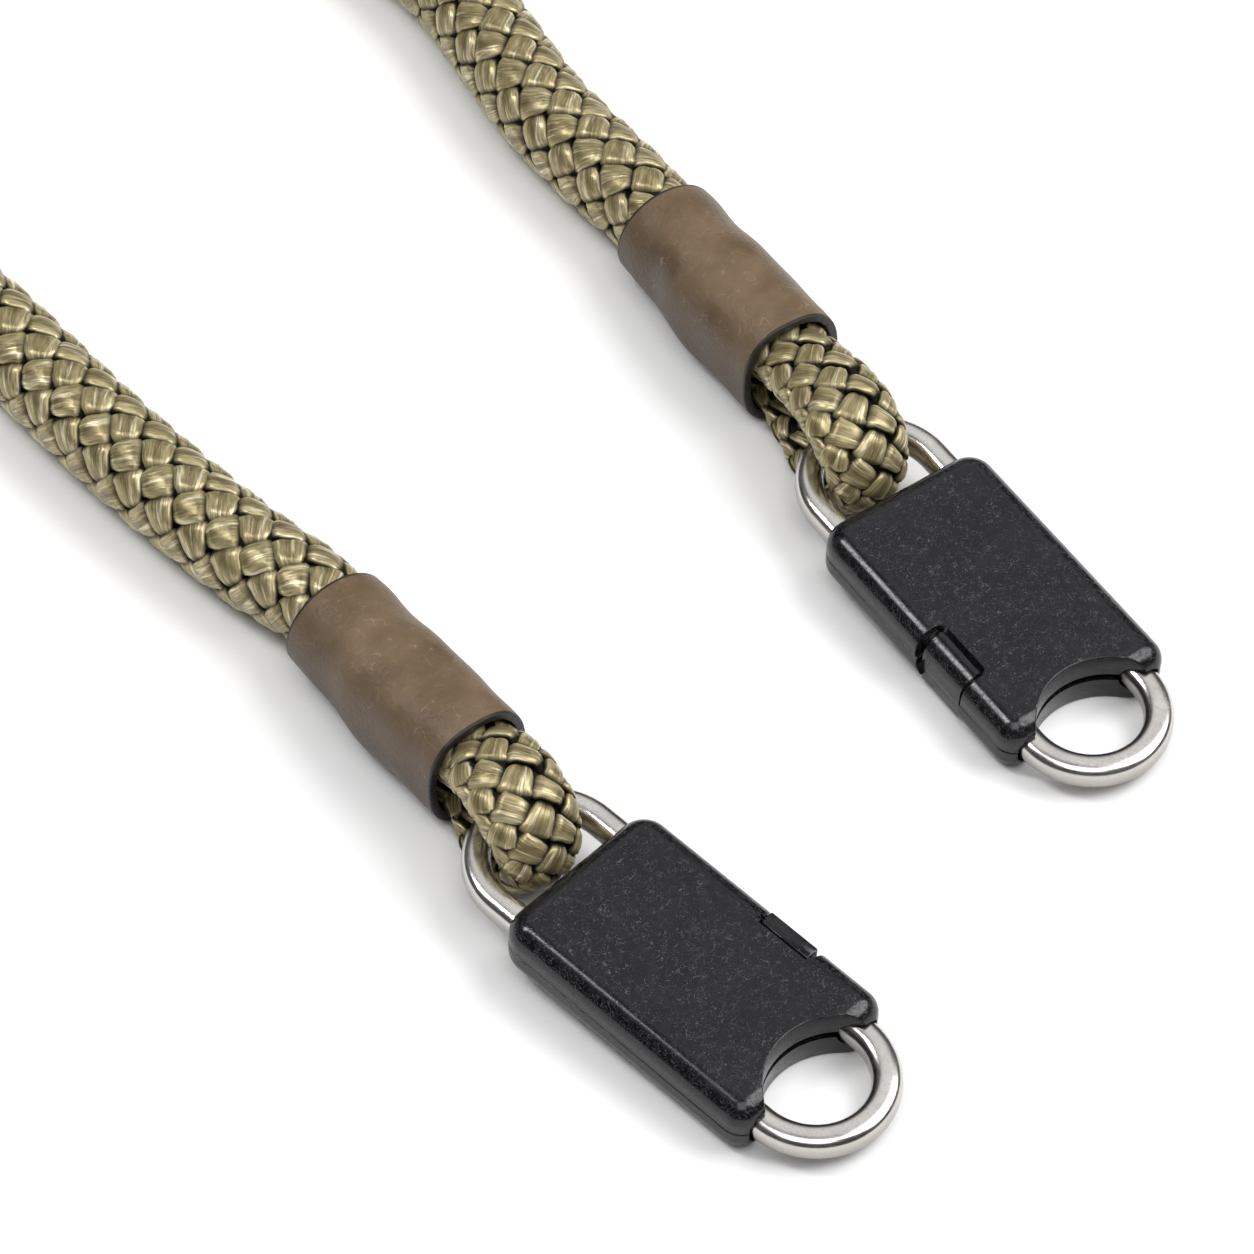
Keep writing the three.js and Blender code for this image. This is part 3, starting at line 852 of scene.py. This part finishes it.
def leather_finish(name, shades, worn_and_shaded):
    tree, shader = new_finish(name, Specular_IOR_Level=LEATHER_GLOSS)
    spot = object_place(tree)
    cloud = place_group(PATCHES, spot, LEATHER_CLOUDS)
    grain = place_group(PATCHES, spot, LEATHER_GRAIN)
    tone = mix_colours(cloud, *shades)
    if worn_and_shaded:
        lines = place_group(FINE_LINES, spot, LEATHER_LINES)
        few = place_group(PATCHES, spot, LEATHER_FEW)
        scuffed = mix_colours(sums("MULTIPLY", lines, few), tone, LEATHER_SCUFF)
        # Painted shade: the leather darkens low on its sides and stays lighter on top.
        out_of_painted_shade = spread(split(spot)["Z"], *PAINTED_SHADE_HEIGHTS)
        tone = mix_colours(out_of_painted_shade, LEATHER_PAINTED_SHADE, scuffed)
    roughness = spread(cloud, 0.0, 1.0, *LEATHER_ROUGHNESS)
    connect(shader, tone, roughness, grain, GRAIN_DEPTH)


leather_finish("leather", LEATHER_SHADES, True)
leather_finish("burnished", BURNISHED_SHADES, False)
print("finishes", sorted(finish))

# %% Sleeves
LIP_ROUND = 0.3
LIP_STEPS = 3
DYED = 0.45
# How far a face's normal leans along the sleeve, on its rim, on its wall and where it is dyed.
RIM_FACING = 0.7
WALL_FACING = 0.5
DYED_FACING = 0.3


def round_lips(bm):
    """Rounds over the edges where the rims meet the inner and outer walls."""
    lips = []
    for edge in bm.edges:
        leans = [abs(face.normal.y) for face in edge.link_faces]
        if max(leans) > RIM_FACING and min(leans) < WALL_FACING:
            lips.append(edge)
    bmesh.ops.bevel(
        bm, geom=lips, offset=LIP_ROUND * MM, affect="EDGES", segments=LIP_STEPS, profile=0.5, material=-1,
        clamp_overlap=True,
    )
    bm.normal_update()


def sleeve(end):
    """The leather tube in the eye's own frame, then moved to its place."""
    bm = bmesh.new()
    lay_grid(bm, sleeve_places(end))
    bmesh.ops.remove_doubles(bm, verts=bm.verts, dist=SAME_CORNER)
    bmesh.ops.recalc_face_normals(bm, faces=bm.faces)
    outwards = sum(face.normal.x * face.calc_center_median().x for face in bm.faces)
    if outwards <= 0:
        bmesh.ops.reverse_faces(bm, faces=bm.faces)
    bmesh.ops.solidify(bm, geom=list(bm.faces), thickness=LEATHER * MM)
    round_lips(bm)
    middle = (ENDS[end]["sleeve_rear"] - SLEEVE_LONG / 2) * MM
    dyed = (SLEEVE_LONG / 2 - DYED) * MM
    for face in bm.faces:
        near_rim = abs(face.calc_center_median().y - middle) > dyed
        face.material_index = int(near_rim or abs(face.normal.y) > DYED_FACING)
    in_place = Matrix.Scale(MM, 4) @ eye_matrix(end) @ Matrix.Scale(1 / MM, 4)
    bmesh.ops.transform(bm, matrix=in_place, verts=bm.verts)
    piece = new_piece("leather_sleeve_" + end, bm, "leather", "burnished")
    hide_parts("sleeve_" + end)
    return piece


sleeves = {end: sleeve(end) for end in ENDS}
print("sleeves", [len(piece.data.polygons) for piece in sleeves.values()])

# %% [markdown]
# ## The housings
# Each housing is two moulded shells that meet at a seam half way up. A block is rounded on all its edges,
# the arc is cut from its front, and it is parted at the seam: one shell keeps a springy tongue on one long
# side, the other has the notch that the tongue snaps into. The cuts are booleans, because the latch crosses
# rounded edges, which extruded faces follow badly.

# %% Rounded blocks
CORNER_STEPS = 8
RIM_STEPS = 9
SAME_HEIGHT = 1e-4
UPRIGHT = 0.99


def bevel_edges(bm, edges, offset, segments):
    bmesh.ops.bevel(
        bm, geom=edges, offset=offset, affect="EDGES", segments=segments, profile=0.5, material=-1,
        clamp_overlap=False,
    )


def block(low, high):
    """A plain box between two corners."""
    bm = bmesh.new()
    bmesh.ops.create_cube(bm, size=1.0)
    size = Vector(high) - Vector(low)
    bmesh.ops.scale(bm, vec=size, verts=bm.verts)
    bmesh.ops.translate(bm, vec=(Vector(high) + Vector(low)) / 2, verts=bm.verts)
    return bm


def upright_edges(bm, ahead=None):
    """Edges that stand along Z, all of them or only those at one end."""
    found = []
    for edge in bm.edges:
        way = (edge.verts[1].co - edge.verts[0].co).normalized()
        if abs(way.z) > UPRIGHT and (ahead is None or edge.verts[0].co.y * ahead > 0):
            found.append(edge)
    return found


def rounded_housing(inset=0.0):
    """The whole housing in the clip's own frame, or a slightly smaller one."""
    half = Vector((HALF_WIDE - inset, HALF_LONG - inset, HALF_HIGH - inset))
    bm = block(-half, half)
    bevel_edges(bm, upright_edges(bm, 1), HOUSING["rear"], CORNER_STEPS)
    bevel_edges(bm, upright_edges(bm, -1), HOUSING["front"], CORNER_STEPS)
    rims = [edge for edge in bm.edges if abs(edge.verts[0].co.z - edge.verts[1].co.z) < SAME_HEIGHT]
    bevel_edges(bm, rims, HOUSING["edge"], RIM_STEPS)
    return bm


whole = rounded_housing()
print("a whole housing has", len(whole.faces), "faces")
whole.free()

# %% Cuts and their tools
SHELL_WALL = 1.6
# Further than any housing reaches, in millimetres.
FAR = 40
FRONT_ARC = {"radius": 9.5, "ahead": 4.5, "slot": 1.1, "slot_reach": 8.1, "slot_past_wall": 0.2, "sides": 96}
NOTCH_STEPS = 6
INSIDE_EDGE = 0.01


def cut(body, tool, operation="DIFFERENCE"):
    """Cuts a tool's shape out of a mesh, and uses both up."""
    target = as_object(body, "cut_body")
    cutter = as_object(tool, "cut_tool")
    step = target.modifiers.new("cut", "BOOLEAN")
    step.operation = operation
    step.solver = "EXACT"
    step.object = cutter
    bpy.context.view_layer.update()
    evaluated = target.evaluated_get(bpy.context.evaluated_depsgraph_get())
    result = bmesh.new()
    result.from_mesh(evaluated.data)
    for item in (target, cutter):
        mesh = item.data
        bpy.data.objects.remove(item)
        bpy.data.meshes.remove(mesh)
    return result


def front_bar(radius):
    """An upright bar that cuts the arc from the front of a housing."""
    bm = bmesh.new()
    bmesh.ops.create_cone(
        bm, cap_ends=True, segments=FRONT_ARC["sides"], radius1=radius, radius2=radius,
        depth=3 * HOUSING["height"],
    )
    middle = (0.0, -HALF_LONG - FRONT_ARC["ahead"], 0.0)
    bmesh.ops.translate(bm, vec=middle, verts=bm.verts)
    return bm


def arc_slot():
    """The dark slot that shows half way up the front arc."""
    slot = front_bar(FRONT_ARC["radius"] + SHELL_WALL + FRONT_ARC["slot_past_wall"])
    half = FRONT_ARC["slot"] / 2
    reach = FRONT_ARC["slot_reach"]
    return cut(slot, block((-reach, -FAR, -half), (reach, FAR, half)), "INTERSECT")


def latch_block(span, inner, low, high, corner=0.0):
    """A block on the latch side between two distances ahead of the middle."""
    bm = block((inner, -span[1], low), (HOUSING["width"], -span[0], high))
    if corner:
        inside = [edge for edge in upright_edges(bm) if edge.verts[0].co.x < inner + INSIDE_EDGE]
        bevel_edges(bm, inside, corner, NOTCH_STEPS)
    return bm


def hollow(low, high):
    """The room inside a shell, between two heights."""
    across = HALF_WIDE - SHELL_WALL
    along = HALF_LONG - SHELL_WALL
    front = HALF_LONG + FRONT_ARC["ahead"] - FRONT_ARC["radius"] - SHELL_WALL
    return block((-across, -front, low), (across, along, high))


print("the front arc goes in by", FRONT_ARC["radius"] - FRONT_ARC["ahead"], "mm")

# %% [markdown]
# ### A shell's surface
# A moulded shell has soft edges and even highlights. Cut meshes have long thin faces that would shade in
# stripes, so each cut edge gets a small bevel, and corners on the rounded outside take the normals of the
# true rounded block. Smoothing the mesh instead would blur the seam and the latch.

# %% Normals of the rounded block
def rounded_normal(point):
    """Which way the rounded housing faces at a point, and how far from its skin that is."""
    edge = HOUSING["edge"]
    corner = HOUSING["rear" if point.y > 0 else "front"] - edge
    reach = (HALF_WIDE - edge - corner, HALF_LONG - edge - corner)
    inner = Vector([max(-most, min(most, value)) for most, value in zip(reach, point.xy)])
    out = point.xy - inner
    inner = inner + out * min(1.0, corner / out.length if out.length else 1.0)
    level = HALF_HIGH - edge
    centre = Vector((inner.x, inner.y, max(-level, min(level, point.z))))
    away = point - centre
    return (away.normalized() if away.length else Vector((0, 0, 1))), abs(away.length - edge)


print("the top faces", rounded_normal(Vector((0.0, 0.0, HALF_HIGH)))[0][:])

# %% Finishing a shell
EDGE_SOFTNESS = 0.2
SOFT_STEPS = 2
SHELL_WELD = 2e-3
# A corner this close to the rounded block is on its skin, and this close to the top on its flat face.
ON_SKIN = 0.03
ON_FACE = 0.02
# Edges that bend more than these get a bevel, or stay sharp in the shading.
CRISP = math.radians(32)
SHARP = math.radians(40)
SAME_WAY = 0.9


def soften(bm):
    """Joins the splinters that the cuts left, and bevels each cut edge on the outside."""
    bmesh.ops.remove_doubles(bm, verts=bm.verts, dist=SHELL_WELD)
    bmesh.ops.dissolve_degenerate(bm, edges=bm.edges, dist=SHELL_WELD)
    outside = {face for face in bm.faces if all(rounded_normal(vert.co)[1] < ON_SKIN for vert in face.verts)}
    crisp = []
    for edge in bm.edges:
        if edge.is_manifold and edge.calc_face_angle() > CRISP:
            if sum(face in outside for face in edge.link_faces) == 1:
                crisp.append(edge)
    bevel_edges(bm, crisp, EDGE_SOFTNESS, SOFT_STEPS)
    bmesh.ops.remove_doubles(bm, verts=bm.verts, dist=SHELL_WELD)
    bmesh.ops.triangulate(bm, faces=[face for face in bm.faces if len(face.verts) > 4])
    bmesh.ops.recalc_face_normals(bm, faces=bm.faces)


def shade_as_rounded(mesh, facing):
    """Gives corners on the skin the rounded block's normals, by their vertex numbers."""
    mesh.set_sharp_from_angle(angle=SHARP)
    corners = [normal.vector.copy() for normal in mesh.corner_normals]
    for polygon in mesh.polygons:
        for loop in polygon.loop_indices:
            wanted = facing.get(mesh.loops[loop].vertex_index)
            if wanted is not None and wanted.dot(polygon.normal) > SAME_WAY:
                corners[loop] = wanted
    mesh.normals_split_custom_set(corners)


def shell_piece(name, bm, end):
    """Softens a shell, sorts its faces by finish, and moves it to its place."""
    soften(bm)
    top = HALF_HIGH - ON_FACE
    for face in bm.faces:
        face.material_index = int(all(abs(vert.co.z) > top for vert in face.verts))
    moved = clip_matrix(end)
    turn = moved.to_3x3().normalized()
    facing = {}
    bm.verts.index_update()
    for vert in bm.verts:
        normal, gap = rounded_normal(vert.co)
        if gap < ON_SKIN:
            facing[vert.index] = turn @ normal
    bmesh.ops.transform(bm, matrix=moved, verts=bm.verts)
    piece = new_piece(name + "_" + end, bm, "charcoal_border", "charcoal_face")
    shade_as_rounded(piece.data, facing)
    return piece


print("edges are softened by", EDGE_SOFTNESS, "mm")

# %% [markdown]
# ### Charcoal finishes
# The housings are black moulded plastic. The border is polished, and the flat face has a fine leathery
# texture of short curls that catch the light. Real relief would need far too many faces, so lines from the
# shared group mark the colour and the bump, and the two finishes differ only in their values.

# %% Charcoal finishes
CHARCOAL_SHADES = ((0.0035, 0.0035, 0.0050), (0.0060, 0.0060, 0.0080))
CHARCOAL_CLOUDS = (120.0, 0.3, 0.7)
CHARCOAL_CURLS = (1600.0, 1.2, 0.86, 0.97)
CHARCOAL_FEW = (900.0, 0.38, 0.60)
CHARCOAL_UNEVEN = 0.04
MARK_BLUE = 1.12


def charcoal_finish(name, rough, relief, mark, gloss):
    """Black moulded plastic: the same body, with its own gloss and depth of texture."""
    tree, shader = new_finish(name, Specular_IOR_Level=gloss)
    spot = object_place(tree)
    lines = place_group(FINE_LINES, spot, CHARCOAL_CURLS)
    cloud = place_group(PATCHES, spot, CHARCOAL_CLOUDS)
    few = place_group(PATCHES, spot, CHARCOAL_FEW)
    body = mix_colours(cloud, *CHARCOAL_SHADES)
    marked = sums("MULTIPLY", lines, few)
    flecked = mix_colours(marked, body, (mark, mark, mark * MARK_BLUE))
    uneven = spread(cloud, 0.0, 1.0, rough - CHARCOAL_UNEVEN, rough + CHARCOAL_UNEVEN)
    connect(shader, flecked, uneven, lines, relief)


charcoal_finish("charcoal_border", rough=0.19, relief=0.00002, mark=0.020, gloss=0.45)
charcoal_finish("charcoal_face", rough=0.27, relief=0.000008, mark=0.072, gloss=0.34)
print("finishes", sorted(finish))

# %% [markdown]
# ### The two shells
# The shells are cut from the same rounded block, so their outsides agree. The tongue is a stretch of the
# side wall that hangs below the seam between two slits, with a groove behind it, and a bar closes its top.

# %% The shell with the tongue
SEAM = 0.14
RING_HOLE = {"clearance": 0.3, "section_sides": 24, "bend_steps": 24}
LATCH = {"from": 0.7, "to": 9.6, "inner": 8.3, "corner": 1.1, "drop": 0.5}
TONGUE = {
    "from": 1.6, "to": 8.9, "inner": 8.9, "slit": 0.5, "slit_depth": 2.6, "pressed_in": 0.5,
    "groove": 0.35, "groove_depth": 0.7, "bar_in": 0.7, "bar_low": 1.0, "bar_drop": 0.3,
}


def shared_cuts(bm, room):
    """The cuts of both shells: the front arc, the room inside, the slot and the ring's way."""
    for tool in (front_bar(FRONT_ARC["radius"]), room, arc_slot(), ring_mesh(**RING_HOLE)):
        bm = cut(bm, tool)
    return bm


def tab_shell(end):
    """The shell with the tongue, on the +Z side."""
    high = HOUSING["height"]
    span = (TONGUE["from"], TONGUE["to"])
    root = HALF_WIDE - TONGUE["slit_depth"]
    below = block((-FAR, -FAR, -high), (FAR, FAR, SEAM / 2))
    below = cut(below, latch_block(span, TONGUE["inner"], LATCH["drop"] - HALF_HIGH, SEAM))
    bm = shared_cuts(cut(rounded_housing(), below), hollow(0.0, HALF_HIGH - SHELL_WALL))
    for start in (TONGUE["from"] - TONGUE["slit"], TONGUE["to"]):
        bm = cut(bm, latch_block((start, start + TONGUE["slit"]), root, -high, high))
    around = latch_block(span, root, -high, high)
    bm = cut(bm, cut(around, rounded_housing(TONGUE["pressed_in"])))
    inner = root - TONGUE["groove"]
    groove_low = (inner, -span[1], HALF_HIGH - TONGUE["groove_depth"])
    bm = cut(bm, block(groove_low, (inner + TONGUE["groove"], -span[0], high)))
    bar_low = (inner + TONGUE["groove"], -span[1], TONGUE["bar_low"])
    bar = block(bar_low, (HALF_WIDE - TONGUE["bar_in"], -span[0], HALF_HIGH - TONGUE["bar_drop"]))
    bevel_edges(bar, list(bar.edges), EDGE_SOFTNESS, SOFT_STEPS)
    bm = cut(bm, bar, "UNION")
    piece = shell_piece("tongue_shell", bm, end)
    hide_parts("tab_shell_" + end)
    return piece


print("the tongue is", round(TONGUE["to"] - TONGUE["from"], 1), "mm long")

# %% The shell with the notch
POCKET_TOP = 1.0


def notch_shell(end):
    """The shell with the notch, on the -Z side."""
    high = HOUSING["height"]
    span = (LATCH["from"], LATCH["to"])
    above = block((-FAR, -FAR, -SEAM / 2), (FAR, FAR, high))
    pocket = hollow(SHELL_WALL - HALF_HIGH, POCKET_TOP)
    keep_low = (LATCH["inner"] - SHELL_WALL, -span[1] - SHELL_WALL, -high)
    keep = block(keep_low, (FAR, -span[0] + SHELL_WALL, high))
    bm = shared_cuts(cut(rounded_housing(), above), cut(pocket, keep))
    bm = cut(bm, latch_block(span, LATCH["inner"], -2 * high, high, LATCH["corner"]))
    piece = shell_piece("notched_shell", bm, end)
    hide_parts("notch_shell_" + end)
    return piece


shells = [make(end) for end in ENDS for make in (tab_shell, notch_shell)]
print("shells", {piece.name: len(piece.data.polygons) for piece in shells})

# %% [markdown]
# ## Table and light
# The strap lies on white, lit by a large softbox on the right, a narrow one on the left and one overhead on
# the camera's side, while the room glows high behind it. Far from the strap the table shines by itself, so
# that it is white in low views too. The picture is shown without a film curve, so the white stays white.

# %% Table
TABLE_HALF = 6.0
TABLE_WHITE = (0.93, 0.93, 0.93, 1.0)
# From how far to how far away, in metres, the table begins to shine, and how much.
TABLE_SHINES = (0.5, 2.0, 0.0, 0.9)


def make_table():
    bm = bmesh.new()
    bmesh.ops.create_grid(bm, x_segments=1, y_segments=1, size=TABLE_HALF)
    table = as_object(bm, "table")
    tree, shader = new_finish(
        "white_table", Base_Color=TABLE_WHITE, Roughness=0.9, Specular_IOR_Level=0.1, Emission_Strength=1.0,
    )
    far = add(tree, "VectorMath", props={"operation": "LENGTH"})
    join(object_place(tree), far.inputs[0])
    join(spread(far.outputs["Value"], *TABLE_SHINES), shader.inputs["Emission Color"])
    table.data.materials.append(finish["white_table"])
    return table


print("table", [round(v, 1) for v in make_table().dimensions])

# %% Room
ROOM_GLOWS = (0.0, 0.6, 0.8)
# How closely a direction has to match the glow, from dim to bright.
ROOM_RANGE = (0.88, 0.985, 0.06, 0.9)


def studio_room():
    """A studio that glows high behind the strap. The camera itself sees white."""
    world = bpy.data.worlds.new("studio_room")
    world.use_nodes = True
    tree = world.node_tree
    background = tree.nodes["Background"]
    background.inputs["Color"].default_value = (1.0, 1.0, 1.0, 1.0)
    glow = add(tree, "VectorMath", props={"operation": "DOT_PRODUCT"})
    glow.inputs[1].default_value = from_camera(*ROOM_GLOWS)
    join(add(tree, "TexCoord").outputs["Generated"], glow.inputs[0])
    shade = spread(glow.outputs["Value"], *ROOM_RANGE)
    seen = sums("MAXIMUM", shade, add(tree, "LightPath").outputs["Is Camera Ray"])
    join(seen, background.inputs["Strength"])
    bpy.context.scene.world = world
    return world


print("room", studio_room().name)

# %% Softboxes
SOFTBOXES = {
    "right_softbox": {"place": (0.8, 0.1, 1.0), "size": (0.9, 0.9), "power": 15.5},
    "left_softbox": {"place": (-0.66, 0.1, 1.0), "size": (0.2, 0.5), "power": 4.8},
    "top_softbox": {"place": (0.0, -0.45, 1.15), "size": (0.8, 0.8), "power": 6.4},
}
LIT_PLACE = Vector((0.0, 0.02, 0.0))


def soft_light(name, box):
    data = bpy.data.lights.new(name, "AREA")
    data.shape = "RECTANGLE"
    data.size, data.size_y = box["size"]
    data.energy = box["power"]
    light = bpy.data.objects.new(name, data)
    light.location = from_camera(*box["place"])
    light.rotation_mode = "QUATERNION"
    light.rotation_quaternion = (LIT_PLACE - light.location).to_track_quat("-Z", "Y")
    light.visible_camera = False
    bpy.context.scene.collection.objects.link(light)


for name, box in SOFTBOXES.items():
    soft_light(name, box)
bpy.context.scene.view_settings.view_transform = "Standard"
print("softboxes", sorted(SOFTBOXES))
